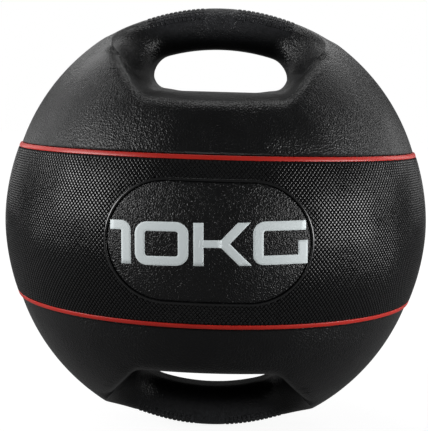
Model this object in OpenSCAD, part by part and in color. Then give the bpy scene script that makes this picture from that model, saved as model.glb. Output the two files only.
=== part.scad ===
// Double-grip medicine ball: a weighted carcass under a moulded rubber cover,
// with a finger slot and an arched grip bar at each pole.
// Millimetres, +Z up, origin at the centre of the ball, the badge faces -Y.

/* [Ball] */
// Radius of the ball at its equator
ball_r = 141; // [138:0.5:145]
// Radius of the belt's outline, seen from the side
belt_bow_r = 150; // [142:1:165]
// Lean of the belt's outline where its two halves meet at the equator, degrees
belt_lean = 2.4; // [0.4:0.2:4]
// Height of the cap sphere's centre above the equator
cap_rise = 6; // [3:0.5:9]
// Step down from the belt to the caps
cap_step = 0.4; // [0.2:0.1:1]
// Thickness of the rubber cover at the equator
cover_t = 14; // [11:0.5:16]

/* [Stripes] */
// Height of the stripes' centres above and below the equator
stripe_z = 48.3; // [44:0.1:52]
// Width of a stripe
stripe_w = 2.8; // [2:0.1:4]
// Depth of a stripe in its groove
stripe_t = 3; // [2:0.1:5]

/* [Scoops] */
// Height of the scoop floor at mid depth
floor_z = 86; // [83:0.5:89]
// Radius on which the floor bows down to the front and the back
floor_bow_r = 906; // [700:10:1400]
// Width of the level part of the floor
floor_w = 74.4; // [66:0.2:78]
// Radius between the floor and the side walls
floor_corner_r = 12; // [8:0.5:15]
// Lean of the side walls from upright, degrees
wall_lean = 40.8; // [36:0.2:44]
// Rubber left under the scoop floor and behind its walls
floor_t = 10; // [8:0.5:12]

/* [Grip] */
// Height of the grip bar's crown above the centre of the ball
crown_z = 142; // [140:0.5:144]
// Radius of the arch along the crown
arch_r = 153; // [148:1:160]
// Thickness of the bar
grip_t = 28; // [25:0.5:30]
// Depth of the bar, front to back
grip_d = 38; // [32:0.5:42]
// Width of the finger slot under the bar
slot_w = 93; // [86:0.5:96]
// Radius of the slot's ends
slot_end_r = 11.5; // [9:0.5:12.5]
// Length of the flat land on the crown
land_l = 21; // [14:1:26]
// Plan radius on which the bar spreads into the ball
flare_r = 45; // [42:1:60]
// Distance from the slot's end radius to the start of the spread
flare_inset = 4; // [2:0.5:8]
// Height by which the bar's ends may stand above the cap sphere
grip_proud = 0.6; // [0.3:0.1:1]

/* [Badge] */
// Width of the badge, seen from the front
badge_w = 118; // [104:1:124]
// Height of the badge
badge_h = 70; // [60:1:78]
// Thickness of the badge
badge_t = 3; // [2:0.5:5]
// Width of the bead round the badge
bead_w = 1.6; // [1:0.1:3]
// Height of the bead above the belt
bead_h = 0.4; // [0.2:0.1:1]
// Depth of the badge's face below the belt
badge_sink = 0.3; // [0.1:0.1:1]

/* [Carcass] */
// Wall of the carcass
carcass_t = 6; // [4:0.5:8]
// Height of the tongue that locates the two halves
tongue_h = 6; // [4:0.5:10]
// Thickness of the seal between the halves
seal_t = 1.5; // [1:0.1:3]
// Film of adhesive or air between neighbouring pieces
bond_gap = 0.15; // [0.05:0.05:0.2]

/* [Handle core] */
// Diameter of the core rod
core_d = 12; // [8:0.5:14]
// Margin of a boss round the rod's end
boss_margin = 1; // [0.5:0.25:2]
// Height of the seats that carry the bosses
foot_z = 98; // [96:0.5:99]
// Distance of the bosses from the middle
foot_x = 73.5; // [72.5:0.5:74.5]

/* [Filler] */
// Inner radius of the filler bush
filler_r = 9; // [7:0.5:11]
// Wall of the filler bush
filler_wall = 4; // [3:0.5:5]
// Radius of the bush's flange
flange_r = 18; // [17:0.5:20]
// Thickness of the flange
flange_t = 2; // [1.5:0.5:3]
// Length of the bush below its flange
bush_l = 12; // [10:0.5:16]
// Thickness of the plug's washer
washer_t = 1; // [0.5:0.1:1.5]
// Radius of the plug's head
plug_head_r = 13; // [12.5:0.5:15]
// Thickness of the plug's head
plug_head_t = 2.5; // [2:0.5:3]
// Width across the flats of the plug's key recess
key_af = 8; // [6:0.5:9]
// Depth of the key recess
key_depth = 2; // [1:0.1:3]

/* [Hidden] */
$fn = 120;
eps = 0.01;
touch = 0.005;
far = 400;
big_fn = 720;
arc_fn = 240;
rod_fn = 48;

// centre of the belt's arc above the equator, as distance from the axis and drop
belt_x = ball_r - belt_bow_r * cos(belt_lean);
belt_drop = belt_bow_r * sin(belt_lean);
function belt_edge(z) = belt_x + sqrt(pow(belt_bow_r, 2) - pow(z + belt_drop, 2));
cap_r = sqrt(pow(belt_edge(stripe_z) - cap_step, 2) + pow(stripe_z - cap_rise, 2));
groove_r = belt_edge(stripe_z) - stripe_t;
carcass_r = ball_r - cover_t;

arch_z = crown_z - arch_r;
grip_r = arch_r - grip_t / 2;
slot_arch_r = arch_r - grip_t;
land_drop = arch_r - sqrt(pow(arch_r, 2) - pow(land_l / 2, 2));
wall_top = 80; // reach of the scoop's section, well past the ball
floor_axis_z = floor_z - floor_bow_r;
floor_sweep = 2 * asin((ball_r + wall_top / 2) / floor_bow_r);
slot_end_x = slot_w / 2 - slot_end_r;
slot_end_z = floor_z + slot_end_r;
mouth_r = grip_t / 2;
flare_x = slot_end_x - flare_inset;
grip_flat = grip_d / 2 - mouth_r;
foot_angle = asin(foot_x / grip_r);
boss_d = core_d + 2 * boss_margin;
boss_top = arch_z + grip_r * cos(foot_angle) + core_d / 2;

saddle_z = floor_z - floor_t;
neck_r = filler_r + filler_wall;
flange_top = saddle_z + flange_t;
head_z = flange_top + washer_t;
head_top = head_z + plug_head_t;
rebate_r = carcass_r - carcass_t / 2;

// ---- shared forms ----

// a solid turned about the line parallel to Y through x, z
module about_y(x, z) {
    translate([x, 0, z]) rotate([-90, 0, 0]) children();
}

// everything above a level
module above(z) {
    translate([-far / 2, -far / 2, z]) cube(far);
}

// the belt's barrel form, grown or shrunk
module belt_form(grow = 0) {
    rotate_extrude($fn = big_fn) intersection() {
        translate([belt_x, -belt_drop]) circle(belt_bow_r + grow, $fn = big_fn);
        translate([belt_x, belt_drop]) circle(belt_bow_r + grow, $fn = big_fn);
        translate([0, -ball_r]) square([far, 2 * ball_r]);
    }
}

// a ring of rectangular section
module ring(r_in, r_out, z0, z1) {
    rotate_extrude($fn = big_fn) translate([r_in, z0]) square([r_out - r_in, z1 - z0]);
}

// the scoop's section as height and reach: level floor, rounded corners, leaning walls
module scoop_section(grow) {
    r = floor_corner_r + grow;
    x0 = floor_w / 2;
    x_wall = x0 + r * cos(wall_lean);
    h_wall = floor_corner_r - r * sin(wall_lean);
    x_foot = x_wall - (h_wall + grow) * tan(wall_lean);
    x_top = x_wall + (wall_top - h_wall) * tan(wall_lean);
    difference() {
        polygon([[-grow, -x_foot], [wall_top, -x_top], [wall_top, x_top], [-grow, x_foot]]);
        for (s = [-1, 1]) difference() {
            polygon([[floor_corner_r, s * x0], [floor_corner_r - 2 * r, s * x0],
                     [floor_corner_r - 2 * r, s * (x0 + 2 * r)],
                     [floor_corner_r - 2 * r * sin(wall_lean), s * (x0 + 2 * r * cos(wall_lean))]]);
            // let out by a hair, so that it crosses the floor and the wall
            translate([floor_corner_r, s * x0]) circle(r + touch);
        }
    }
}

// the scoop as one channel from front to back, its section swept over the bowed floor
module scoop_channel(grow = 0) {
    translate([0, 0, floor_axis_z]) rotate([0, 90, 0]) rotate([0, 0, 180 - floor_sweep / 2])
        rotate_extrude(angle = floor_sweep, $fn = 2 * big_fn)
            translate([floor_bow_r, 0]) scoop_section(grow);
}

// outline of the finger slot at mid depth, x across and y up
module slot_outline() {
    intersection() {
        translate([0, arch_z]) circle(slot_arch_r, $fn = big_fn);
        translate([-slot_end_x, floor_z - floor_t / 2])
            square([2 * slot_end_x, slot_arch_r]);
    }
    for (s = [-1, 1]) translate([s * slot_end_x, slot_end_z]) circle(slot_end_r);
}

// outline of the carcass, grown or shrunk
module carcass_form(grow = 0) {
    difference() {
        sphere(carcass_r + grow, $fn = big_fn / 2);
        for (m = [0, 1]) mirror([0, 0, m]) scoop_channel(floor_t - grow);
    }
}

// the rod inside a grip bar, its ends let into bosses that stand on the carcass
module core_rod(grow = 0) {
    about_y(0, arch_z) rotate([0, 0, -90 - foot_angle])
        rotate_extrude(angle = 2 * foot_angle, $fn = big_fn)
            translate([grip_r, 0]) circle(core_d / 2 + grow, $fn = rod_fn);
    for (s = [-1, 1]) translate([s * foot_x, 0, foot_z - grow])
        cylinder(r = boss_d / 2 + grow, h = boss_top - foot_z + 2 * grow);
}

// ---- grip bar ----

// section of the bar: a slab with fully rounded long edges
module grip_section() {
    translate([grip_r - mouth_r, -grip_flat]) square([grip_t, 2 * grip_flat]);
    for (s = [-1, 1]) translate([grip_r, s * grip_flat]) circle(mouth_r, $fn = arc_fn);
}

// the arched bar, run into the ball at both ends
module grip_bar() {
    intersection() {
        about_y(0, arch_z) rotate_extrude($fn = big_fn) grip_section();
        above(slot_end_z);
        translate([0, 0, cap_rise]) sphere(cap_r + grip_proud, $fn = big_fn);
        translate([-foot_x, -far / 2, 0]) cube([2 * foot_x, far, far]);
    }
}

// plan of the spread of the bar into the ball
module flare_plan() {
    difference() {
        translate([flare_x, -flare_r]) square([flare_r, 2 * flare_r]);
        for (s = [-1, 1]) translate([flare_x, s * (grip_flat + flare_r)]) circle(flare_r, $fn = arc_fn);
    }
}

// trumpet mouth round each end of the slot
module slot_mouth() {
    about_y(slot_end_x, slot_end_z) rotate_extrude($fn = arc_fn) {
        difference() {
            translate([0, -mouth_r]) square([slot_end_r + mouth_r, 2 * mouth_r]);
            translate([slot_end_r + mouth_r, 0]) circle(mouth_r);
        }
        for (s = [0, 1]) mirror([0, s]) translate([0, mouth_r]) square([slot_end_r + mouth_r, far / 2]);
    }
}

// ---- cover ----

module cap() {
    difference() {
        union() {
            difference() {
                intersection() {
                    translate([0, 0, cap_rise]) sphere(cap_r, $fn = big_fn);
                    above(stripe_z);
                }
                scoop_channel();
            }
            grip_bar();
            difference() {
                intersection() {
                    translate([0, 0, cap_rise]) sphere(cap_r, $fn = big_fn);
                    translate([0, 0, floor_z - floor_t / 2]) linear_extrude(far)
                        for (m = [0, 1]) mirror([m, 0]) flare_plan();
                }
                for (m = [0, 1]) mirror([m, 0, 0]) slot_mouth();
                translate([0, far / 2, 0]) rotate([90, 0, 0]) linear_extrude(far) slot_outline();
            }
        }
        // groove for the stripe
        ring(groove_r, ball_r, stripe_z - eps, stripe_z + stripe_w / 2);
        // seat on the carcass
        carcass_form(bond_gap);
        core_rod(bond_gap);
        // room for the filler
        translate([0, 0, saddle_z - floor_t / 2]) {
            cylinder(r = flange_r + bond_gap, h = flange_top - saddle_z + floor_t / 2 + bond_gap);
            cylinder(r = plug_head_r + bond_gap, h = head_top - saddle_z + floor_t / 2 + bond_gap);
        }
        // flat land on the crown
        above(crown_z - land_drop);
    }
}

module upper_cap() { color("#1d1e20") cap(); }
module lower_cap() { color("#1d1e20") mirror([0, 0, 1]) cap(); }

// outline of the badge, seen from the front
module badge_outline(grow = 0) {
    r = badge_h / 2 + grow;
    run = badge_w / 2 - badge_h / 2;
    translate([-run, -r]) square([2 * run, 2 * r]);
    for (s = [-1, 1]) translate([s * run, 0]) circle(r);
}

// the badge outline as a prism through the front of the ball
module badge_prism(grow = 0) {
    rotate([90, 0, 0]) linear_extrude(far / 2) badge_outline(grow);
}

module center_band() {
    z_top = stripe_z - bond_gap;
    color("#232427") difference() {
        intersection() {
            belt_form();
            translate([-far / 2, -far / 2, -z_top]) cube([far, far, 2 * z_top]);
        }
        sphere(carcass_r + bond_gap, $fn = big_fn / 2);
        for (m = [0, 1]) mirror([0, 0, m])
            ring(groove_r, far / 2, stripe_z - stripe_w / 2, stripe_z);
        difference() {
            badge_prism(bond_gap);
            belt_form(-badge_t);
        }
    }
}

module stripe() {
    color("#c8201a") intersection() {
        belt_form();
        ring(groove_r + bond_gap, far / 2, stripe_z - stripe_w / 2 + bond_gap,
             stripe_z + stripe_w / 2 - bond_gap);
    }
}

module upper_stripe() { stripe(); }
module lower_stripe() { mirror([0, 0, 1]) stripe(); }

module front_badge() {
    color("#1a1b1d") difference() {
        union() {
            intersection() {
                badge_prism();
                belt_form(-badge_sink);
            }
            intersection() {
                difference() {
                    badge_prism();
                    badge_prism(-bead_w);
                }
                belt_form(bead_h);
            }
        }
        belt_form(bond_gap - badge_t);
    }
}

// ---- inside ----

module upper_handle_core() { color("#8c9096") core_rod(); }
module lower_handle_core() { color("#8c9096") mirror([0, 0, 1]) core_rod(); }

// carcass wall of the upper half, from the joint up
module carcass_half() {
    difference() {
        intersection() {
            carcass_form();
            above(0);
        }
        carcass_form(-carcass_t);
        for (s = [-1, 1]) translate([s * foot_x, 0, foot_z - bond_gap])
            cylinder(r = boss_d / 2 + bond_gap, h = far);
    }
}

module upper_carcass() {
    color("#6f5a3c") difference() {
        carcass_half();
        ring(rebate_r, far / 2, -eps, seal_t / 2);
        ring(0, rebate_r + bond_gap, -eps, tongue_h + bond_gap);
        translate([0, 0, saddle_z - 2 * carcass_t]) cylinder(r = neck_r, h = 3 * carcass_t);
    }
}

module lower_carcass() {
    color("#6f5a3c") {
        mirror([0, 0, 1]) difference() {
            carcass_half();
            ring(rebate_r, far / 2, -eps, seal_t / 2);
        }
        intersection() {
            ring(0, rebate_r, -eps, tongue_h);
            difference() {
                sphere(carcass_r, $fn = big_fn / 2);
                sphere(carcass_r - carcass_t, $fn = big_fn / 2);
            }
        }
    }
}

module carcass_seal() {
    color("#b04a2a") ring(rebate_r + bond_gap, carcass_r, bond_gap - seal_t / 2, seal_t / 2 - bond_gap);
}

module packed_fill() {
    color("#4a4a4a") difference() {
        carcass_form(-carcass_t - bond_gap);
        translate([0, 0, flange_top - flange_t - bush_l - bond_gap])
            cylinder(r = neck_r + bond_gap, h = far);
    }
}

module filler_bush() {
    color("#2f3a4a") translate([0, 0, saddle_z]) difference() {
        union() {
            cylinder(r = flange_r, h = flange_t);
            translate([0, 0, -bush_l]) cylinder(r = neck_r - bond_gap, h = bush_l + eps);
        }
        translate([0, 0, -bush_l - eps]) cylinder(r = filler_r, h = bush_l + flange_t + 1);
    }
}

module plug_washer() {
    color("#101010") ring(filler_r, plug_head_r, flange_top, head_z);
}

module filler_plug() {
    color("#2f3a4a") difference() {
        union() {
            translate([0, 0, head_z]) cylinder(r = plug_head_r, h = plug_head_t);
            translate([0, 0, saddle_z - bush_l])
                cylinder(r = filler_r - bond_gap, h = head_z - saddle_z + bush_l + eps);
        }
        translate([0, 0, head_top - key_depth])
            cylinder(r = key_af / sqrt(3), h = key_depth + eps, $fn = 6);
    }
}

upper_cap();
lower_cap();
center_band();
upper_stripe();
lower_stripe();
front_badge();
upper_handle_core();
lower_handle_core();
upper_carcass();
lower_carcass();
carcass_seal();
packed_fill();
filler_bush();
plug_washer();
filler_plug();
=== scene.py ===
"""Looks of the double-grip medicine ball: moulded caps, knurled belt, inlays, badge and lettering.

Every shape function works in millimetres in the ball's own frame, with its centre at the origin, +Z up
and the badge facing -Y. Meshes are turned to metres when they are made.
"""

import math

import bmesh
import bpy
import numpy as np
from mathutils import Matrix, Vector


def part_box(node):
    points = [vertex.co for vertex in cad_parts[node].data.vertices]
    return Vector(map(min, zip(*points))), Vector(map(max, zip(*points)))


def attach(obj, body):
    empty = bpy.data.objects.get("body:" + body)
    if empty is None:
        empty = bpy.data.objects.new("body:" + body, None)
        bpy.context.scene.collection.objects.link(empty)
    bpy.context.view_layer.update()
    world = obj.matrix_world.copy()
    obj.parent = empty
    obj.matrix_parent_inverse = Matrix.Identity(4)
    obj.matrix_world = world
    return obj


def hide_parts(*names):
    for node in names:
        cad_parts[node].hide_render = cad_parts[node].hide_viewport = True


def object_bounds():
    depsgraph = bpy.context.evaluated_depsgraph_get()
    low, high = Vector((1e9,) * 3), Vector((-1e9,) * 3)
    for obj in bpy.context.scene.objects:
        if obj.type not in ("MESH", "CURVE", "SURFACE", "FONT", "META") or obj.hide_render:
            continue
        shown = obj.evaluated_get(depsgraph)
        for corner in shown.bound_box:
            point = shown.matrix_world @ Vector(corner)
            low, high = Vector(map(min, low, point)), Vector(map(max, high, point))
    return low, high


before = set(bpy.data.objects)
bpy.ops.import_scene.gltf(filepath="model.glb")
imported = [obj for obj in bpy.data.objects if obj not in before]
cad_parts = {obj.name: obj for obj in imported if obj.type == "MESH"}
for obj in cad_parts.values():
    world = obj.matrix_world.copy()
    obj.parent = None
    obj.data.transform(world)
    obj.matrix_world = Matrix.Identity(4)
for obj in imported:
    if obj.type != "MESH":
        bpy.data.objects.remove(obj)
cad_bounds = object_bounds()

MM = 0.001


def extent(node):
    """Lowest and highest corner of a node's box, in millimetres."""
    low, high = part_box(node)
    return np.array(low) / MM, np.array(high) / MM


# ---------------------------------------------------------------------------------------------
# Sizes, in millimetres
# ---------------------------------------------------------------------------------------------

BALL_R = extent("center_band")[1][0]
STRIPE_LOW, STRIPE_HIGH = (corner[2] for corner in extent("upper_stripe"))
STRIPE_MID = (STRIPE_LOW + STRIPE_HIGH) / 2
GROOVE_SPARE = 0.1
STRIPE_HALF = (STRIPE_HIGH - STRIPE_LOW) / 2 + GROOVE_SPARE
BADGE_HALF_W = extent("front_badge")[1][0]
BADGE_HALF_H = extent("front_badge")[1][2]

# belt outline: an arc above the equator and its mirror image below. Each arc's centre lies a little past the
# axis and past the equator, so the arcs would meet in a crease, which is rounded
BELT_ARC = 150.0
BELT_LEAN = math.radians(2.4)
BELT_X = BALL_R - BELT_ARC * math.cos(BELT_LEAN)
BELT_DROP = BELT_ARC * math.sin(BELT_LEAN)
EQUATOR_SOFT = 9.0
EQUATOR_SHARE = 0.35

# cap sphere, its rounded lip at the stripe, and the ledges that run in under the stripe
CAP_RISE = 6.0
CAP_STEP = 0.4
CAP_LIP = 0.6
LEDGE_IN = 3.4

# scoop channel
FLOOR_Z = 86.0
FLOOR_BOW = 1150.0
FLOOR_HALF = 37.2
FLOOR_CORNER = 12.0
WALL_LEAN = math.radians(40.8)

# grip: the arch of its outer face, the bar's thickness and half depth, its land, the slot, and the spread at
# its roots, whose ellipse stops just before it stands upright
ARCH_Z = -11.0
ARCH_R = 153.0
GRIP_T = 28.0
GRIP_NOSE = GRIP_T / 2
GRIP_HALF = 19.0
LAND_HALF = 10.5
SLOT_HALF = 46.5
SLOT_END = 11.5
SLOT_BELOW = 1.0
SLOT_MID_Z = 100.0
FLARE_START = 36.0
FLARE_MID_Z = 122.0
FLARE_LEAN = 0.5
FLARE_GROWTH = 1.3
FLARE_LAST = 0.995

# roundings between the cap's forms: the scoop's rim, the bar's nose, the crown's land, and the bar's foot,
# which is blended in full only out at its roots
RIM_SOFT = 6.5
NOSE_SOFT = 4.0
LAND_SOFT = 0.6
FOOT_SOFT = 1.0
ROOT_SOFT = 8.0
ROOT_FROM = 22
ROOT_TO = 38

# how the cap's mesh lines are spread: neighbours evened out, and how much a bend counts against length
LINE_SMOOTH = 24
BEND_WEIGHT = 14.0

# studded pads on the grip's outer face, each side of its crown: lengths along the arch and round the nose,
# the runs over which a pad sinks in, and the studs, in shares of their lattice, with their feet let in and
# their tops just below the face round the pad
PAD_FROM = 11.0
PAD_TO = 50.5
PAD_SINK = 0.55
PAD_PITCH = 3.1
PAD_COLUMNS = 7
PAD_DEPTH = 11.0
PAD_EDGE_IN = 1.2
PAD_EDGE_OUT = 1.5
PAD_EDGE_SIDE = 2.5
PAD_FOOT = 0.94
PAD_TOP = 0.56
PAD_LET_IN = 0.1
PAD_SHY = 0.02

# belt knurl: diamonds in rows, each a cut pyramid with a bevel round its top, as shares of its foot, and how
# far the middle of one may lie under the bead
KNURL_COLUMNS = 340
KNURL_ROWS = 33
KNURL_H = 0.5
KNURL_TOP = 0.38
KNURL_BEVEL = 0.6
KNURL_BEVEL_DROP = 0.05
KNURL_UNDER = 0.2

# stripe: feet down in the groove, and a dome that falls towards its edges
STRIPE_FOOT = 3.0
STRIPE_CROWN = 0.02
STRIPE_FALL = 0.22
STRIPE_CLEAR = 0.12

# badge: how far out and up its bead runs, the bead's section, and how far below the belt the panel, its
# groove, the bead's feet and the ground under it lie
BEAD_OUT = 1.0
BEAD_RISE = 0.7
BEAD_W = 1.5
BEAD_H = 0.45
PANEL_SINK = 0.3
GROOVE_SINK = 0.8
BEAD_FOOT = 1.2
UNDER_BADGE = 1.2

# lettering
PRINT_H = 0.25
PRINT_TURN = 0.029
PRINT_RISE = 0.3
PRINT_WIDEN = 1.11
LETTER_HALF_H = 12.4
STROKE = 5.35


# ---------------------------------------------------------------------------------------------
# Meshes
# ---------------------------------------------------------------------------------------------

def grid_faces(rows, columns, wrap_rows=False, wrap_columns=False):
    """Quads between neighbours of a grid of points kept row by row."""
    i = np.arange(rows if wrap_rows else rows - 1)[:, None]
    j = np.arange(columns if wrap_columns else columns - 1)[None, :]
    i_next = (i + 1) % rows
    j_next = (j + 1) % columns
    corners = [i * columns + j, i * columns + j_next, i_next * columns + j_next, i_next * columns + j]
    return np.stack(np.broadcast_arrays(*corners), -1).reshape(-1, 4)


def join(*parts):
    """One set of points and faces from several pairs of them."""
    points, faces, start = [], [], 0
    for part_points, part_faces in parts:
        points.append(part_points.reshape(-1, 3))
        faces.append(part_faces + start)
        start += len(points[-1])
    return np.concatenate(points), np.concatenate(faces)


def mirrored(points, faces, axis):
    """The same surface on the other side of the origin along one axis, its faces turned outward again."""
    flip = np.ones(3)
    flip[axis] = -1
    return points * flip, faces[:, ::-1]


def skin(name, points, faces, material, weld=0.0, smooth=True):
    """A mesh object from points in millimetres. Points closer than weld become one."""
    mesh = bpy.data.meshes.new(name)
    mesh.from_pydata((points.reshape(-1, 3) * MM).tolist(), [], faces.tolist())
    mesh.polygons.foreach_set("use_smooth", np.full(len(mesh.polygons), smooth))
    if weld:
        work = bmesh.new()
        work.from_mesh(mesh)
        bmesh.ops.remove_doubles(work, verts=work.verts, dist=weld * MM)
        work.to_mesh(mesh)
        work.free()
    mesh.materials.append(material)
    mesh.update()
    piece = bpy.data.objects.new(name, mesh)
    bpy.context.scene.collection.objects.link(piece)
    return piece


# ---------------------------------------------------------------------------------------------
# Forms of the ball
# ---------------------------------------------------------------------------------------------

def soft_min(a, b, reach):
    """The smaller of a and b, blended with a parabola where they differ by less than reach."""
    share = np.clip(0.5 + 0.5 * (b - a) / reach, 0, 1)
    return b + (a - b) * share - reach * share * (1 - share)


def soft_max(a, b, reach):
    """The larger of a and b, blended in the same way."""
    return -soft_min(-a, -b, reach)


def smooth_step(low, high, value):
    """From 0 to 1 as the value goes from low to high, level at both ends."""
    share = np.clip((value - low) / (high - low), 0, 1)
    return share ** 2 * (3 - 2 * share)


def belt_radius(z):
    """Radius of the belt at height z: an arc on each side of the equator.

    The crease between them is rounded, because the arc's height is the root of two squares, the height's and
    the softness's, less a share of the softness.
    """
    height = np.sqrt(z ** 2 + EQUATOR_SOFT ** 2) - EQUATOR_SOFT * EQUATOR_SHARE
    return BELT_X + np.sqrt(BELT_ARC ** 2 - (height + BELT_DROP) ** 2)


CAP_EDGE = BELT_X + math.sqrt(BELT_ARC ** 2 - (STRIPE_MID + BELT_DROP) ** 2) - CAP_STEP
CAP_R = math.hypot(CAP_EDGE, STRIPE_MID - CAP_RISE)


def cap_radius(z):
    """Radius of the cap sphere at height z."""
    return np.sqrt(CAP_R ** 2 - (z - CAP_RISE) ** 2)


def channel(x, y, z):
    """Distance to the scoop channel, negative in the air.

    Its section is a level floor, a round corner and a leaning wall. It is carried along a line that is bowed
    from front to back, so height counts from that line's arc.
    """
    height = np.hypot(y, z - (FLOOR_Z - FLOOR_BOW)) - FLOOR_BOW
    across = x - FLOOR_HALF
    up = height - FLOOR_CORNER
    wall = across * math.cos(WALL_LEAN) - up * math.sin(WALL_LEAN) - FLOOR_CORNER
    corner = np.hypot(across, up) - FLOOR_CORNER
    bend = np.arctan2(-up, across)
    in_corner = (bend > WALL_LEAN) & (bend < math.pi / 2)
    return np.where(in_corner, corner, np.maximum(wall, -height))


def slot(x, z):
    """Distance to the finger slot's edge, positive in the rubber: a box with round corners under an arch."""
    above = np.hypot(x, z - ARCH_Z) - (ARCH_R - GRIP_T)
    below = FLOOR_Z - SLOT_BELOW - z
    side = x - SLOT_HALF + SLOT_END
    level = np.maximum(above, below) + SLOT_END
    outside = np.hypot(np.maximum(side, 0), np.maximum(level, 0))
    return np.minimum(np.maximum(side, level), 0) + outside - SLOT_END


def grip_reach(x, z):
    """Half depth of the bar: level, then spreading on an ellipse that is about upright at the scoop's wall.

    The ellipse's half axes are the run from the spread's start to the wall and FLARE_GROWTH times that run.
    """
    above_corner = np.maximum(z - FLOOR_Z - FLOOR_CORNER, 0)
    end = FLOOR_HALF + (FLOOR_CORNER + above_corner * math.sin(WALL_LEAN)) / math.cos(WALL_LEAN)
    start = FLARE_START + FLARE_LEAN * (z - FLARE_MID_Z)
    share = np.clip((x - start) / (end - start), 0, FLARE_LAST)
    return GRIP_HALF + FLARE_GROWTH * (end - start) * (1 - np.sqrt(1 - share ** 2))


def pad_share(x, z, depth):
    """How far a spot of the bar lies in a pad, from 0 to 1: along the arch, and in depth from it."""
    along = ARCH_R * np.arctan2(x, z - ARCH_Z)
    begun = smooth_step(PAD_FROM - PAD_EDGE_IN, PAD_FROM, along)
    ended = smooth_step(PAD_TO, PAD_TO + PAD_EDGE_OUT, along)
    return (begun - ended) * (1 - smooth_step(PAD_DEPTH, PAD_DEPTH + PAD_EDGE_SIDE, depth))


def cap_form(x, y, z):
    """Signed distance-like value of the cap, negative in the rubber.

    The ball, less the channel, plus the bar. The bar is a slab round the slot with a full round nose: its
    section counts depth from the slot's edge and from the arch. The bar is sunk where its pads lie, and its
    blend into the channel is wide only at its roots. A level plane cuts the land on its crown.
    """
    x, y = np.abs(x), np.abs(y)
    ball = np.hypot(np.hypot(x, y), z - CAP_RISE) - CAP_R
    from_arch = ARCH_R - np.hypot(x, z - ARCH_Z)
    depth = soft_min(slot(x, z), from_arch, NOSE_SOFT)
    beyond = y - (grip_reach(x, z) - GRIP_NOSE)
    past_flat = np.maximum(beyond, 0)
    short = GRIP_NOSE - depth
    nose = np.hypot(past_flat, np.maximum(short, 0)) - GRIP_NOSE
    bar = nose + np.minimum(np.maximum(beyond, short), 0) + PAD_SINK * pad_share(x, z, from_arch)
    blend = FOOT_SOFT + (ROOT_SOFT - FOOT_SOFT) * smooth_step(ROOT_FROM, ROOT_TO, x)
    body = soft_min(-channel(x, y, z), bar, blend)
    crown = z - (ARCH_Z + math.sqrt(ARCH_R ** 2 - LAND_HALF ** 2))
    return soft_max(soft_max(ball, body, RIM_SOFT), crown, LAND_SOFT)


def slope(points, form, step=0.05):
    """Gradient of form at points, by differences over a small step."""
    x, y, z = points[..., 0], points[..., 1], points[..., 2]
    return np.stack([form(x + step, y, z) - form(x - step, y, z),
                     form(x, y + step, z) - form(x, y - step, z),
                     form(x, y, z + step) - form(x, y, z - step)], -1) / (2 * step)


def settle(points, form, steps=3, least=0.05):
    """Moves points onto the surface where form is zero, by Newton steps along its gradient.

    The gradient's square counts as least where it is smaller, so that no point is thrown far.
    """
    for _ in range(steps):
        rise = slope(points, form)
        size = np.maximum((rise ** 2).sum(-1), least)
        points = points - rise * (form(points[..., 0], points[..., 1], points[..., 2]) / size)[..., None]
    return points


def first_crossing(form, start, direction, traces=26, halvings=14,
                   caution=0.95, look=0.05, growth=1.6, far=60):
    """Distance along each ray at which form first turns positive.

    The ray walks from inside by nearly the form's own value, which hardly ever oversteps, then looks ahead by
    growing steps and halves the last one.
    """
    def value(at):
        """The form at a distance along each ray."""
        spot = start + direction * at[..., None]
        return form(spot[..., 0], spot[..., 1], spot[..., 2])

    low = np.zeros(direction.shape[:-1])
    for _ in range(traces):
        low = low + np.maximum(-value(low) * caution, 0)
    high, step = low.copy(), look
    inside = np.ones(low.shape, bool)
    while inside.any() and step < far:
        high = np.where(inside, low + step, high)
        now = value(high) < 0
        low = np.where(inside & now, high, low)
        inside &= now
        step *= growth
    for _ in range(halvings):
        mid = (low + high) / 2
        within = value(mid) < 0
        low = np.where(within, mid, low)
        high = np.where(within, high, mid)
    return (low + high) / 2


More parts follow.
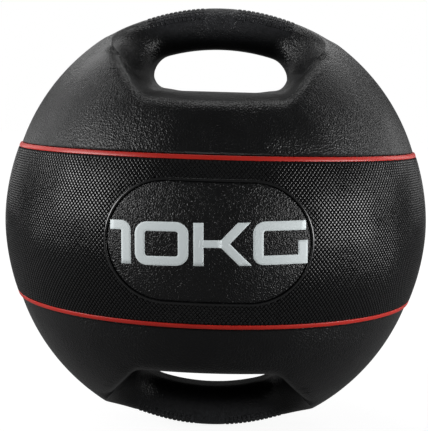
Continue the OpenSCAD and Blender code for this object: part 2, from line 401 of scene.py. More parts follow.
def cap_surface(lines=420, steps=104, fine=420):
    """Points and faces of the upper cap's outer skin.

    Lines stand round the slot. Each starts on the slot's edge, wraps round the rubber in front and ends on
    the stripe, or on the ball's outline over the grip. A point on it is found by a ray from the middle of the
    rubber, and the points are then spaced along the line.
    """
    edge_z = STRIPE_MID + STRIPE_HALF + CAP_LIP
    edge_r = float(cap_radius(edge_z))
    corner = math.atan2(edge_z - CAP_RISE, edge_r)
    over = CAP_R * (math.pi - 2 * corner)
    front = math.pi * edge_r
    n_over = round(lines * over / (over + front))
    turn = corner + (math.pi - 2 * corner) * (np.arange(n_over) + 0.5) / n_over
    sweep = math.pi * (np.arange(lines - n_over + 1)) / (lines - n_over)

    # where each line ends: over the grip on the outline, then back along the stripe
    end_x = np.concatenate([CAP_R * np.cos(turn), -edge_r * np.cos(sweep)])
    end_z = np.concatenate([CAP_RISE + CAP_R * np.sin(turn), np.full(len(sweep), edge_z)])
    end_y = np.concatenate([np.zeros(n_over), edge_r * np.sin(sweep)])
    end = np.stack([end_x, -end_y, end_z], -1)

    # where it starts: towards its end, but smoothed so that no two lines lie close together
    bearing = np.unwrap(np.arctan2(end_z - SLOT_MID_Z, end_x))
    full = 2 * math.pi
    padded = np.concatenate([bearing[-LINE_SMOOTH:] - full, bearing, bearing[:LINE_SMOOTH] + full])
    window = np.hanning(2 * LINE_SMOOTH + 3)[1:-1]
    bearing = np.convolve(padded, window / window.sum(), "valid")
    out = np.stack([np.cos(bearing), np.zeros_like(bearing), np.sin(bearing)], -1)
    hub = np.array([0.0, 0.0, SLOT_MID_Z])
    lift = SLOT_MID_Z - CAP_RISE
    to_ball = np.sqrt(CAP_R ** 2 - (lift * out[:, 0]) ** 2) - lift * out[:, 2]
    to_edge = (edge_z - SLOT_MID_Z) / np.minimum(out[:, 2], -1e-6)
    reach = np.minimum(to_ball, to_edge)
    air = first_crossing(lambda x, y, z: slot(np.abs(x), z), hub, out)
    middle = hub + out * ((air + reach) / 2)[:, None]

    # rays fan from the slot's side to the front, and on from the front to the end
    rest = end - middle
    past = np.hypot(rest[:, 0], rest[:, 2])
    onward = rest * [1, 0, 1] / past[:, None]
    last = math.pi / 2 + np.arctan2(past, -rest[:, 1])
    angle = last[:, None] * np.linspace(0, 1, fine)[None, :]
    aside = np.where((angle < math.pi / 2)[..., None], -out[:, None, :], -onward[:, None, :])
    ray = aside * np.cos(angle)[..., None] + np.array([0, -1, 0]) * np.sin(angle)[..., None]
    length = first_crossing(cap_form, middle[:, None, :], ray)
    path = middle[:, None, :] + ray * length[..., None]

    # spacing by length, closer where a line bends: one interpolation for all, each line shifted past the last
    leg = np.diff(path, axis=1)
    step = np.linalg.norm(leg, axis=-1)
    heading = leg / np.maximum(step, 1e-9)[..., None]
    bend = np.linalg.norm(np.diff(heading, axis=1, append=heading[:, -1:]), axis=-1)
    run = np.concatenate([np.zeros((len(path), 1)), np.cumsum(step + BEND_WEIGHT * bend, 1)], 1)
    run /= run[:, -1:]
    shift = 2.0 * np.arange(len(path))[:, None]
    wanted = (np.linspace(0, 1, steps)[None, :] + shift).ravel()
    known = (run + shift).ravel()
    points = np.stack([np.interp(wanted, known, path[..., k].ravel()) for k in range(3)], -1)
    points = points.reshape(len(path), steps, 3)
    points[:, 1:-1] = settle(points[:, 1:-1], cap_form)

    # the ends lie exactly on the outline's plane and on the stripe's edge
    points[:, 0, 1] = 0
    on_edge = end_y > 1e-6
    points[~on_edge, -1, 1] = 0
    points[on_edge, -1] = end[on_edge]
    faces = grid_faces(len(path), steps, wrap_rows=True)
    return points, faces, points[n_over:, -1], edge_r, edge_z


def cap_lip(rim, edge_r, edge_z):
    """The rounded edge at the stripe and its ledge: the rim goes down a quarter circle, then inward."""
    bend = np.linspace(0, math.pi / 2, 5)
    drop = np.concatenate([CAP_LIP * np.sin(bend), [CAP_LIP]])
    pull = np.concatenate([CAP_LIP * (1 - np.cos(bend)), [LEDGE_IN]])
    share = (edge_r - pull)[None, :] / edge_r
    points = np.stack([rim[:, None, 0] * share, rim[:, None, 1] * share,
                       np.broadcast_to(edge_z - drop, (len(rim), len(drop)))], -1)
    return points, grid_faces(len(rim), len(drop))


def grip_pads():
    """Studs of the upper grip's two pads, in a square lattice laid over its crown and noses.

    A corner's place is worked out on the plain bar, settled onto the cap's surface and lifted off it.
    """
    rows = round((PAD_TO - PAD_FROM) / PAD_PITCH)
    along = np.linspace(PAD_FROM, PAD_TO, 2 * rows + 1)[1::2]
    across = (np.arange(2 * PAD_COLUMNS) + 0.5 - PAD_COLUMNS) * PAD_PITCH
    mid_along, mid_across = [grid.ravel()[:, None] for grid in np.meshgrid(along, across)]
    side = np.array([[1, 1], [-1, 1], [-1, -1], [1, -1]]) * PAD_PITCH / 2
    flat = GRIP_HALF - GRIP_NOSE

    def laid(share, lift):
        """Corners of every stud at a share of the lattice, lifted off the cap."""
        turn = (mid_along + side[:, 0] * share) / ARCH_R
        round_bar = mid_across + side[:, 1] * share
        bend = np.maximum(np.abs(round_bar) - flat, 0) / GRIP_NOSE
        y = np.sign(round_bar) * (np.minimum(np.abs(round_bar), flat) + GRIP_NOSE * np.sin(bend))
        radius = ARCH_R - PAD_SINK - GRIP_NOSE * (1 - np.cos(bend))
        spots = np.stack([radius * np.sin(turn), y, ARCH_Z + radius * np.cos(turn)], -1)
        spots = settle(spots, cap_form, 5)
        rise = slope(spots, cap_form)
        return spots + rise * lift / np.linalg.norm(rise, axis=-1, keepdims=True)

    points, faces = studs(laid(PAD_FOOT, -PAD_LET_IN), laid(PAD_TOP, PAD_SINK - PAD_SHY))
    half = points.reshape(-1, 3), faces
    return join(half, mirrored(*half, axis=0))


def whole_cap():
    """The cap's front half with its lip, and the same for the back."""
    points, faces, rim, edge_r, edge_z = cap_surface()
    lip_points, lip_faces = cap_lip(rim, edge_r, edge_z)
    half = join((points, faces), (lip_points, lip_faces[:, ::-1]))
    return join(half, mirrored(*half, axis=1))


# ---------------------------------------------------------------------------------------------
# Belt, stripes, badge
# ---------------------------------------------------------------------------------------------

def badge_distance(x, z):
    """Distance outward from the bead's outline, seen from the front: a bar with round ends."""
    straight = BADGE_HALF_W - BADGE_HALF_H
    return np.hypot(np.maximum(np.abs(x) - straight, 0), z - BEAD_RISE) - BADGE_HALF_H - BEAD_OUT


def on_belt(around, z, lift):
    """Points at an angle from the badge's middle and a height, lifted off the belt's outline."""
    radius = belt_radius(z) + lift
    return np.stack([radius * np.sin(around), -radius * np.cos(around), z + 0 * around], -1)


def belt_ground(levels=49, rounds=480):
    """The belt between the studs: a surface of revolution at their foot, lower under the badge."""
    top = STRIPE_MID - STRIPE_HALF
    z = np.linspace(-top, top, levels)
    around = np.linspace(0, 2 * math.pi, rounds, endpoint=False)
    ground = on_belt(around[None, :], z[:, None], -KNURL_H)
    under = (badge_distance(ground[..., 0], ground[..., 2]) < 0) & (np.cos(around)[None, :] > 0)
    ground[..., :2] *= np.where(under, 1 - UNDER_BADGE / BALL_R, 1.0)[..., None]
    ledge = ground[[0, -1]].copy()
    ledge[..., :2] *= 1 - LEDGE_IN / BALL_R
    rings = np.concatenate([ledge[:1], ground, ledge[1:]])
    return rings, grid_faces(len(rings), len(around), wrap_columns=True)


def studs(*rings, topped=True):
    """Points and faces of many studs, from rings of four corners going up. A topped one gets a flat top."""
    corners = 4 * len(rings)
    one = grid_faces(len(rings), 4, wrap_columns=True)
    if topped:
        one = np.concatenate([one, np.arange(corners - 4, corners)[None, :]])
    points = np.concatenate(rings, 1)
    return points, (np.arange(len(points))[:, None, None] * corners + one).reshape(-1, 4)


def knurl(upper):
    """Diamond studs of the belt's upper or lower half, in staggered rows, with none under the badge.

    Their bevelled tops and their steep sides are two pieces, since the tops are polished and the sides dull.
    """
    top = STRIPE_MID - STRIPE_HALF
    pitch_z = 2 * top / KNURL_ROWS
    pitch_a = 2 * math.pi / KNURL_COLUMNS
    row = np.arange(2 * KNURL_ROWS - 1)
    row = row[(row >= KNURL_ROWS) == upper][:, None]
    column = np.arange(KNURL_COLUMNS)[None, :]
    mid_a = (column + 0.5 * (row % 2)) * pitch_a + 0 * row
    mid_z = -top + (row + 1) * pitch_z / 2 + 0 * column
    mid = on_belt(mid_a, mid_z, 0)
    stands = (badge_distance(mid[..., 0], mid[..., 2]) > -KNURL_UNDER) | (np.cos(mid_a) < 0)
    mid_a, mid_z = mid_a[stands][:, None], mid_z[stands][:, None]
    side = np.array([[1, 0], [0, 1], [-1, 0], [0, -1]]) * 0.5
    profile = (1.0, -KNURL_H), (KNURL_BEVEL, -KNURL_BEVEL_DROP), (KNURL_TOP, 0.0)
    rings = [on_belt(mid_a + side[:, 0] * pitch_a * share, mid_z + side[:, 1] * pitch_z * share, lift)
             for share, lift in profile]
    return studs(*rings[1:]), studs(*rings[:2], topped=False)


def stripe_skin(levels=11, rounds=720):
    """The inlay: a ring whose section is a low dome with rounded edges, its feet down in the groove.

    The dome falls with the third power of the way out from its middle.
    """
    across = np.linspace(-1, 1, levels)
    dome = STRIPE_CROWN - STRIPE_FALL * np.abs(across) ** 3
    z = STRIPE_MID + across * (STRIPE_HALF - STRIPE_CLEAR)
    lift = np.concatenate([[-STRIPE_FOOT], dome, [-STRIPE_FOOT]])
    z = np.concatenate([z[:1], z, z[-1:]])
    around = np.linspace(0, 2 * math.pi, rounds, endpoint=False)
    points = on_belt(around[None, :], z[:, None], lift[:, None])
    return points, grid_faces(len(z), len(around), wrap_columns=True)


def badge_rings(inward, lift, rounds=360):
    """Rings of the badge's outline, each drawn in from the bead's outer edge and lifted off the belt."""
    straight = BADGE_HALF_W - BADGE_HALF_H
    end_r = BADGE_HALF_H + BEAD_OUT

    # walk the outline at an even pace: right end, top, left end, bottom
    arc = math.pi * end_r
    at = np.linspace(0, 2 * arc + 4 * straight, rounds, endpoint=False)
    right = at < arc
    top = (at >= arc) & (at < arc + 2 * straight)
    left = (at >= arc + 2 * straight) & (at < 2 * arc + 2 * straight)
    quarter = math.pi / 2
    bends = [at / end_r - quarter, quarter, (at - 2 * straight) / end_r - quarter]
    bend = np.select([right, top, left], bends, -quarter)
    spines = [straight, straight - (at - arc), -straight]
    spine = np.select([right, top, left], spines, at - 2 * arc - 3 * straight)
    radius = (end_r - inward)[:, None]
    x = spine + radius * np.cos(bend)
    z = radius * np.sin(bend) + BEAD_RISE
    points = on_belt(np.arcsin(x / belt_radius(z)), z, lift[:, None])
    return points, grid_faces(len(inward), rounds, wrap_columns=True)


def bead_skin():
    """The fine raised line round the badge: a half round with its feet below the belt and in the groove."""
    bend = np.linspace(0, math.pi, 11)
    inward = np.concatenate([[0], BEAD_W * (1 - np.cos(bend)) / 2, [BEAD_W]])
    lift = np.concatenate([[-BEAD_FOOT], BEAD_H * np.sin(bend), [-BEAD_FOOT]])
    return badge_rings(inward, lift)


def panel_skin():
    """The badge's panel: a groove along the bead, a rounded edge, then level to the middle."""
    # how far in from the bead's inner edge, and how far down: the groove's floor first, then the edge
    section = np.array([[-0.3, GROOVE_SINK], [0.3, GROOVE_SINK], [0.5, GROOVE_SINK * 0.8],
                        [0.7, PANEL_SINK + 0.12], [1.0, PANEL_SINK + 0.03], [1.5, PANEL_SINK]])
    level = np.linspace(BEAD_W + 2.4, BADGE_HALF_H + BEAD_OUT, 26)
    inward = np.concatenate([BEAD_W + section[:, 0], level])
    drop = np.concatenate([section[:, 1], np.full(len(level), PANEL_SINK)])
    return badge_rings(inward, -drop)


# ---------------------------------------------------------------------------------------------
# Lettering: raised strokes carried along paths on the panel
# ---------------------------------------------------------------------------------------------

def bent_path(corners, radii, step=1.5, clear=2.6):
    """A path through corners, each rounded by its own radius.

    Straight runs get a point about every step, and none closer than clear to a corner or an end.
    """
    spots = [corners[0]]
    for before, here, after, radius in zip(corners[:-2], corners[1:-1], corners[2:], radii):
        to_before = (before - here) / np.linalg.norm(before - here)
        to_after = (after - here) / np.linalg.norm(after - here)
        if not radius:
            spots.append(here)
            continue
        half = math.acos(np.clip(to_before @ to_after, -1, 1)) / 2
        cut = radius / math.tan(half)
        share = np.linspace(0, 1, 13)[:, None]
        first, second = here + to_before * cut, here + to_after * cut
        inward = (to_before + to_after) / np.linalg.norm(to_before + to_after)
        centre = here + inward * radius / math.sin(half)
        arc = (first - centre) * (1 - share) + (second - centre) * share
        spots.extend(centre + arc * radius / np.linalg.norm(arc, axis=1, keepdims=True))
    spots.append(corners[-1])
    path = [spots[0]]
    for first, second in zip(spots[:-1], spots[1:]):
        length = np.linalg.norm(second - first)
        if length > 2 * clear:
            inner = np.linspace(clear, length - clear, max(2, round((length - 2 * clear) / step)))
            path.extend(first + (second - first) * inner[:, None] / length)
        if length > 1e-6:
            path.append(second)
    return np.array(path)


def stroke(corners, radii=(), width=STROKE, closed=False, level_ends=False):
    """A raised stroke: its mid line, widened at right angles and mitred at sharp corners, laid on the panel.

    The whole mark is widened, turned a little and lifted as it is laid. Level ends are cut along the line of
    the letters, the others square.
    """
    corners = np.array(corners, float)
    if closed:
        start = (corners[0] + corners[-1]) / 2
        corners = np.concatenate([[start], corners, [start]])
    path = bent_path(corners, radii)
    tangent = np.diff(path, axis=0)
    tangent /= np.linalg.norm(tangent, axis=1, keepdims=True)
    if closed:
        before, after = tangent[-1:], tangent[:1]
    else:
        before, after = tangent[:1], tangent[-1:]
    enter = np.concatenate([before, tangent])
    leave = np.concatenate([tangent, after])
    mean = enter + leave
    mean /= np.linalg.norm(mean, axis=1, keepdims=True)
    normal = np.stack([-mean[:, 1], mean[:, 0]], -1) / (mean * enter).sum(1, keepdims=True)
    if level_ends:
        for end in (0, -1):
            normal[end] = 1 / normal[end, 0], 0

    # the section, in shares of the half width and of the height: feet in the panel, a small bevel, a flat top
    foot = -0.3
    across = np.array([-1, -1, -0.96, -0.5, 0, 0.5, 0.96, 1, 1]) * width / 2
    lift = np.array([foot, 0.6, 1, 1, 1, 1, 1, 0.6, foot])[None, :] + np.zeros((len(path), 1))
    flat = path[:, None, :] + normal[:, None, :] * across[None, :, None]
    if not closed:
        flat = np.concatenate([flat[:1], flat, flat[-1:]])
        end_foot = np.full_like(lift[:1], foot)
        lift = np.concatenate([end_foot, lift, end_foot])
    wide, high = flat[..., 0] * PRINT_WIDEN, flat[..., 1]
    z = high * math.cos(PRINT_TURN) + wide * math.sin(PRINT_TURN) + PRINT_RISE
    along = wide * math.cos(PRINT_TURN) - high * math.sin(PRINT_TURN)
    points = on_belt(along / belt_radius(z), z, lift * PRINT_H - PANEL_SINK)
    return points, grid_faces(*flat.shape[:2])


def lettering():
    """The mark 10 KG in strokes: one, nought, K and G, placed by arc length from the badge's middle."""
    top, foot = LETTER_HALF_H - STROKE / 2, -LETTER_HALF_H + STROKE / 2
    one = stroke([(-51.9, top + 0.3), (-42.9, top + 0.3), (-42.9, -12.1)], [2.9])
    nought = stroke([(-35.3, foot), (-35.3, top), (-12.6, top), (-12.6, foot)], [4.1] * 4, closed=True)
    stem = stroke([(-4.8, 12.0), (-4.8, -12.3)], width=5.15)
    link = stroke([(-4.4, 0.15), (7.0, 0.15)], width=4.3)
    arms = stroke([(18.3, 12.0), (7.9, 0.15), (19.0, -12.3)], [0.0], width=4.8, level_ends=True)
    gee = stroke([(51.0, top + 0.1), (25.6, top + 0.1), (25.6, foot + 0.3), (49.4, foot + 0.3), (49.4, 1.3)],
                 [3.9, 2.8, 0.0])
    return join(one, nought, stem, link, arms, gee)


# ---------------------------------------------------------------------------------------------
# Shader arithmetic
# ---------------------------------------------------------------------------------------------

class Signal:
    """A shader socket that Python's operators work on. Each operator adds one Math node."""

    def __init__(self, bench, socket):
        self.bench = bench
        self.socket = socket

    def maths(self, operation, *values):
        """One Math node on values that are numbers or signals."""
        return self.bench.node("ShaderNodeMath", {"operation": operation}, dict(enumerate(values)))

    def __add__(self, other):
        return self.maths("ADD", self, other)

    __radd__ = __add__

    def __mul__(self, other):
        return self.maths("MULTIPLY", self, other)

    __rmul__ = __mul__

    def __sub__(self, other):
        return self.maths("SUBTRACT", self, other)

    def __rsub__(self, other):
        return self.maths("SUBTRACT", other, self)

    def ramp(self, low, high, to_low=0.0, to_high=1.0):
        """Smooth step from to_low to to_high as the signal goes from low to high."""
        values = {"Value": self, "From Min": low, "From Max": high, "To Min": to_low, "To Max": to_high}
        return self.bench.node("ShaderNodeMapRange", {"interpolation_type": "SMOOTHSTEP"}, values)


class Finish:
    """A material under construction, with a Principled shader at its end."""

    def __init__(self, name, **constants):
        """Starts the material. Constants are the shader's plain values, named as its sockets are."""
        self.material = bpy.data.materials.new(name)
        self.material.use_nodes = True
        self.tree = self.material.node_tree
        self.shader = self.tree.nodes["Principled BSDF"]
        for socket, value in constants.items():
            self.shader.inputs[socket.replace("_", " ").title().replace("Ior", "IOR")].default_value = value
        self.place = self.node("ShaderNodeTexCoord", {}, {}, "Object")

    def node(self, kind, settings, values, output=0):
        """Adds a node, sets it, and gives its inputs values or links. Returns one of its outputs."""
        made = self.tree.nodes.new(kind)
        for key, value in settings.items():
            setattr(made, key, value)
        for key, value in values.items():
            if isinstance(value, Signal):
                self.tree.links.new(value.socket, made.inputs[key])
            else:
                made.inputs[key].default_value = value
        return Signal(self, made.outputs[output])

    def noise(self, size, detail=2.0, rough=0.5):
        """Cloudy noise about 0.5, with lumps of the given size in millimetres."""
        values = {"Vector": self.place, "Scale": 1 / (size * MM), "Detail": detail, "Roughness": rough}
        return self.node("ShaderNodeTexNoise", {}, values)

    def cells(self, size):
        """Distance to the nearest of many scattered spots, as a share of their spacing in millimetres."""
        values = {"Vector": self.place, "Scale": 1 / (size * MM)}
        return self.node("ShaderNodeTexVoronoi", {"feature": "F1"}, values, "Distance")

    def blend(self, share, first, second):
        """Colour between first and second."""
        kind = {"data_type": "RGBA"}
        return self.node("ShaderNodeMix", kind, {0: share, 6: first, 7: second}, 2)

    def off_middle(self, axis):
        """Distance in millimetres from the ball's middle along one axis, whichever side."""
        along = self.node("ShaderNodeSeparateXYZ", {}, {"Vector": self.place}, axis)
        return along.maths("ABSOLUTE", along) * (1 / MM)

    def feed(self, socket, signal):
        """Links a signal to one of the shader's sockets."""
        self.tree.links.new(signal.socket, self.shader.inputs[socket])

    def relief(self, height, depth):
        """Bump of the given depth in millimetres for a height from 0 to 1."""
        bump = self.node("ShaderNodeBump", {}, {"Height": height, "Distance": depth * MM, "Strength": 1.0})
        self.feed("Normal", bump)


def grey(value, tint=(1.0, 1.0, 1.0)):
    """A grey of one value, each channel multiplied by its tint."""
    return (value * tint[0], value * tint[1], value * tint[2], 1.0)


# the black rubbers share a tint, a darkest and a lighter black
COOL = (0.94, 0.97, 1.06)
BLACK = grey(0.003, COOL)
SOFT_BLACK = grey(0.006, COOL)


def cap_rubber():
    """Black moulded rubber with a pebbled grain that fades in patches, and a painted sheen: a lighter grey
    painted on the grips' tops.

    The painted sheen is noise, times a step in height off the ball's middle, times a step in from the sides,
    so the tops of the grips are painted lighter as if lit from above.
    """
    finish = Finish("cap_rubber", specular_ior_level=0.3)
    swell = finish.noise(26, 2)
    pebble = finish.cells(1.15)
    fine = finish.noise(1.0, 1, 0.5)
    strength = swell.ramp(0.35, 0.65, 0.5, 1.0)
    finish.relief((pebble * 0.5 + fine * 0.9) * strength, 0.55)
    mottle = finish.noise(9, 4, 0.6)
    finish.feed("Roughness", mottle * 0.12 + 0.27)
    high = finish.off_middle(2).ramp(114, 134)
    near_crown = finish.off_middle(0).ramp(56, 40)
    # painted sheen: the grips' tops are painted a lighter grey, as light from above would show them
    painted_top_sheen = high * near_crown * finish.noise(2.2, 2)
    plain = finish.blend(mottle, BLACK, SOFT_BLACK)
    finish.feed("Base Color", finish.blend(painted_top_sheen, plain, grey(0.05, COOL)))
    return finish.material


def belt_rubber():
    """Black moulded rubber, its tops worn a little smoother in patches."""
    finish = Finish("belt_rubber", specular_ior_level=0.45)
    mottle = finish.noise(14, 3, 0.6)
    fine = finish.noise(0.8, 2)
    finish.relief(fine, 0.05)
    finish.feed("Roughness", mottle * 0.1 + 0.17)
    finish.feed("Base Color", finish.blend(mottle, BLACK, SOFT_BLACK))
    return finish.material


def groove_rubber():
    """The same rubber between the studs: never polished, and greyed a little by dust."""
    finish = Finish("groove_rubber", specular_ior_level=0.2)
    mottle = finish.noise(9, 3, 0.6)
    finish.relief(finish.noise(0.8, 2), 0.1)
    finish.feed("Roughness", mottle * 0.15 + 0.62)
    finish.feed("Base Color", finish.blend(mottle, BLACK, grey(0.007, COOL)))
    return finish.material


def badge_rubber():
    """Black rubber with a fine leather grain."""
    finish = Finish("badge_rubber", specular_ior_level=0.32)
    lobes = finish.cells(0.95)
    fine = finish.noise(0.8, 1, 0.5)
    finish.relief(lobes * 0.5 + fine * 0.9, 0.5)
    mottle = finish.noise(12, 3)
    finish.feed("Roughness", mottle * 0.1 + 0.24)
    finish.feed("Base Color", finish.blend(mottle, BLACK, SOFT_BLACK))
    return finish.material


def bead_rubber():
    """Black rubber with a plain skin, smoother than what it runs between."""
    finish = Finish("bead_rubber", specular_ior_level=0.6)
    finish.relief(finish.noise(1.1, 2), 0.04)
    mottle = finish.noise(10, 2)
    finish.feed("Roughness", mottle * 0.08 + 0.2)
    finish.feed("Base Color", finish.blend(mottle, BLACK, SOFT_BLACK))
    return finish.material


def stripe_rubber():
    """Red rubber inlay with a faint mottle."""
    finish = Finish("stripe_rubber", specular_ior_level=0.5)
    mottle = finish.noise(18, 3)
    finish.relief(finish.noise(1.4, 2), 0.06)
    finish.feed("Roughness", mottle * 0.10 + 0.33)
    finish.feed("Base Color", finish.blend(mottle, (0.46, 0.012, 0.006, 1), (0.56, 0.022, 0.012, 1)))
    return finish.material


def print_white():
    """Pale printed ink, slightly cool, with a fine fleck."""
    finish = Finish("print_white", specular_ior_level=0.4)
    fleck = finish.noise(1.2, 3, 0.7)
    finish.relief(fleck, 0.05)
    finish.feed("Roughness", fleck * 0.1 + 0.5)
    finish.feed("Base Color", finish.blend(fleck, (0.76, 0.83, 0.84, 1), (0.84, 0.91, 0.92, 1)))
    return finish.material


def inner_finish(name, dark, light, size, rough, metal):
    """A plain inner material: two colours mixed by noise of one size."""
    finish = Finish(name, metallic=metal)
    cloud = finish.noise(size, 3)
    finish.relief(finish.noise(size / 6, 2), 0.08)
    finish.feed("Roughness", cloud * 0.1 + rough)
    finish.feed("Base Color", finish.blend(cloud, dark, light))
    return finish.material


# ---------------------------------------------------------------------------------------------
# The ball
# ---------------------------------------------------------------------------------------------

def place(piece, slot, *nodes):
    """Sets a piece on the ball's one body, in place of the nodes it stands for."""
    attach(piece, "root")
    if nodes:
        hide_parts(*nodes)


SEAM_WELD = 0.02
PRINT_WELD = 0.001

rubber_cap = cap_rubber()
rubber_belt = belt_rubber()
rubber_groove = groove_rubber()
rubber_badge = badge_rubber()
rubber_stripe = stripe_rubber()

cap_points, cap_faces = whole_cap()
upper_cap = skin("upper_cap_moulding", cap_points, cap_faces, rubber_cap, weld=SEAM_WELD)
lower_cap = skin("lower_cap_moulding", *mirrored(cap_points, cap_faces, axis=2), rubber_cap, weld=SEAM_WELD)
place(upper_cap, "cap_rubber", "upper_cap")
place(lower_cap, "cap_rubber", "lower_cap")

pads = grip_pads()
place(skin("upper_grip_studs", *pads, rubber_cap, smooth=False), "cap_rubber", "upper_cap")
place(skin("lower_grip_studs", *mirrored(*pads, axis=2), rubber_cap, smooth=False), "cap_rubber", "lower_cap")

place(skin("belt_ground", *belt_ground(), rubber_groove), "belt_rubber", "center_band")
for half in ("upper", "lower"):
    tops, sides = knurl(half == "upper")
    place(skin(half + "_knurl", *tops, rubber_belt, smooth=False), "belt_rubber", "center_band")
    place(skin(half + "_knurl_sides", *sides, rubber_groove, smooth=False), "belt_rubber", "center_band")

stripe_points, stripe_faces = stripe_skin()
upper_stripe = skin("upper_inlay", stripe_points, stripe_faces, rubber_stripe)
lower_stripe = skin("lower_inlay", *mirrored(stripe_points, stripe_faces, axis=2), rubber_stripe)
place(upper_stripe, "stripe_rubber", "upper_stripe")
place(lower_stripe, "stripe_rubber", "lower_stripe")

badge = skin("badge_panel", *panel_skin(), rubber_badge, weld=SEAM_WELD)
bead = skin("badge_bead", *bead_skin(), bead_rubber())
place(badge, "badge_rubber", "front_badge")
place(bead, "badge_rubber", "front_badge")

letters = skin("weight_mark", *lettering(), print_white(), weld=PRINT_WELD)
place(letters, "badge_rubber")

TAN = (0.16, 0.12, 0.07, 1.0)
PALE_TAN = (0.22, 0.17, 0.10, 1.0)
BROWN = (0.24, 0.08, 0.04, 1.0)
RED_BROWN = (0.30, 0.10, 0.05, 1.0)
NAVY = (0.03, 0.05, 0.08, 1.0)
SLATE = (0.05, 0.07, 0.10, 1.0)

# the inner solids are shown as they are: finish, two colours, noise size, roughness, metal, then the nodes
INNER = (
    ("core_steel", grey(0.38), grey(0.5), 4, 0.35, 1.0, "upper_handle_core", "lower_handle_core"),
    ("carcass_plastic", TAN, PALE_TAN, 20, 0.5, 0.0, "upper_carcass", "lower_carcass"),
    ("seal_rubber", BROWN, RED_BROWN, 8, 0.6, 0.0, "carcass_seal", "plug_washer"),
    ("fill_crumb", grey(0.03), grey(0.09), 3, 0.8, 0.0, "packed_fill"),
    ("filler_plastic", NAVY, SLATE, 10, 0.45, 0.0, "filler_bush", "filler_plug"),
)
for name, dark, light, size, rough, metal, *nodes in INNER:
    material = inner_finish(name, dark, light, size, rough, metal)
    for node in nodes:
        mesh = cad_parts[node].data
        mesh.materials.clear()
        mesh.materials.append(material)


# ---------------------------------------------------------------------------------------------
# Camera, floor and light
# ---------------------------------------------------------------------------------------------

scene = bpy.context.scene
scene.view_settings.view_transform = "Standard"

CAMERA_AT = Vector((21.45, -767.89, 80.33)) * MM
CAMERA_ROLL = math.radians(1.62)
CAMERA_LENS = 94.86
CAMERA_SHIFT_X = -0.0039
CAMERA_SHIFT_Y = 0.0081


def aim(spot, target=Vector((0, 0, 0)), roll=0.0):
    """Matrix of a camera or lamp at a spot that looks at a target."""
    turn = (target - spot).to_track_quat("-Z", "Y").to_matrix().to_4x4()
    return Matrix.Translation(spot) @ turn @ Matrix.Rotation(roll, 4, "Z")


camera = bpy.data.objects.new("camera", bpy.data.cameras.new("camera"))
scene.collection.objects.link(camera)
camera.matrix_world = aim(CAMERA_AT, roll=CAMERA_ROLL)
camera.data.sensor_width = 36
camera.data.lens = CAMERA_LENS
camera.data.shift_x = CAMERA_SHIFT_X
camera.data.shift_y = CAMERA_SHIFT_Y
camera.data.clip_start = 0.02
camera.data.clip_end = 50
scene.camera = camera


# name, degrees round from the front, degrees up, then distance, width and height in metres, and watts
SOFTBOXES = (
    ("left_box", -70, 12, 1.2, 0.7, 0.42, 11.5),
    ("right_box", 70, 4, 1.2, 0.7, 0.42, 12.5),
    ("left_high_box", -88, 33, 1.2, 0.4, 0.35, 0.8),
    ("left_low_box", -134, 4, 1.2, 0.4, 0.3, 0.45),
    ("right_low_box", 134, 4, 1.2, 0.4, 0.3, 0.35),
    ("left_edge_box", -120, 20, 1.2, 0.4, 0.4, 0.8),
    ("right_edge_box", 120, 20, 1.2, 0.4, 0.4, 1.2),
    ("left_rim_box", -122, 45, 1.2, 0.4, 0.4, 0.8),
    ("right_rim_box", 122, 45, 1.2, 0.4, 0.4, 0.7),
    ("left_back_box", -148, 32, 1.2, 0.4, 0.4, 0.9),
    ("right_back_box", 155, 38, 1.2, 0.4, 0.4, 0.9),
    ("back_box", 180, 30, 1.2, 0.5, 0.4, 0.35),
    ("top_box", 180, 75, 1.2, 0.5, 0.4, 2.0),
)


def softbox(name, around, up, distance, width, height, power):
    """A rectangular lamp that looks at the ball's centre."""
    around, up = math.radians(around), math.radians(up)
    flat = math.cos(up)
    spot = Vector((math.sin(around) * flat, -math.cos(around) * flat, math.sin(up))) * distance
    lamp = bpy.data.lights.new(name, "AREA")
    lamp.shape = "RECTANGLE"
    lamp.size = width
    lamp.size_y = height
    lamp.energy = power
    lamp_object = bpy.data.objects.new(name, lamp)
    scene.collection.objects.link(lamp_object)
    lamp_object.matrix_world = aim(spot)


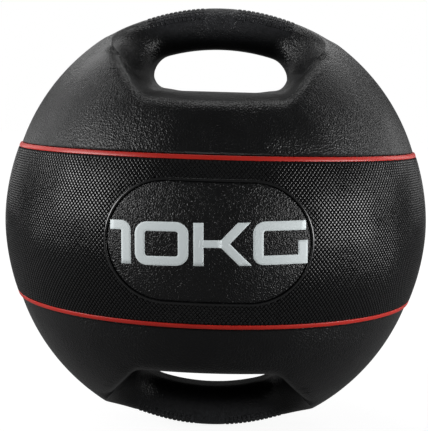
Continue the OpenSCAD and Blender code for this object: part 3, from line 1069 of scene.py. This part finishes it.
for box in SOFTBOXES:
    softbox(*box)

# shares of a full white: the world as light, and the world and the floor as the gloss and glass see them
ROOM_LIGHT = 0.08
WORLD_IN_GLOSS = 0.04
FLOOR_IN_GLOSS = 0.06


def backdrop_seen(bench, share):
    """How much of the white a ray sees: all from the camera, a share off gloss and through glass."""
    direct = bench.node("ShaderNodeLightPath", {}, {}, "Is Camera Ray")
    gloss = bench.node("ShaderNodeLightPath", {}, {}, "Is Glossy Ray")
    glass = bench.node("ShaderNodeLightPath", {}, {}, "Is Transmission Ray")
    return direct + (gloss + glass) * (1 - direct) * share


class Backdrop:
    """The white world, with a method that adds nodes to it as Finish has."""

    def __init__(self, name):
        self.world = bpy.data.worlds.new(name)
        self.world.use_nodes = True
        self.tree = self.world.node_tree

    node = Finish.node


studio = Backdrop("studio")
scene.world = studio.world
strength = backdrop_seen(studio, WORLD_IN_GLOSS) * (1 - ROOM_LIGHT) + ROOM_LIGHT
background = studio.tree.nodes["Background"]
background.inputs["Color"].default_value = (1, 1, 1, 1)
studio.tree.links.new(strength.socket, background.inputs["Strength"])


def floor_paint():
    """Pale floor that also glows on rays that see the backdrop.

    It glows less round the ball and fully further off, so that it meets the white world and keeps the shadow.
    """
    finish = Finish("floor_paint", roughness=0.9, emission_strength=1.0)
    finish.feed("Base Color", finish.blend(finish.noise(300, 2), grey(0.17), grey(0.18)))
    distance = finish.node("ShaderNodeVectorMath", {"operation": "LENGTH"}, {0: finish.place}, 1)
    glow = distance.ramp(0.25, 1.6, 0.9, 1.0) * backdrop_seen(finish, FLOOR_IN_GLOSS)
    finish.feed("Emission Color", finish.blend(glow, grey(0.0), grey(1.0)))
    return finish.material


FLOOR_HALF_SIDE = 6000.0
FLOOR_GAP = 0.05
floor_z = cad_bounds[0][2] / MM - FLOOR_GAP
corners = np.array([[-1, -1, 0], [1, -1, 0], [1, 1, 0], [-1, 1, 0]]) * FLOOR_HALF_SIDE
skin("floor", corners + [0, 0, floor_z], np.array([[0, 1, 2, 3]]), floor_paint())
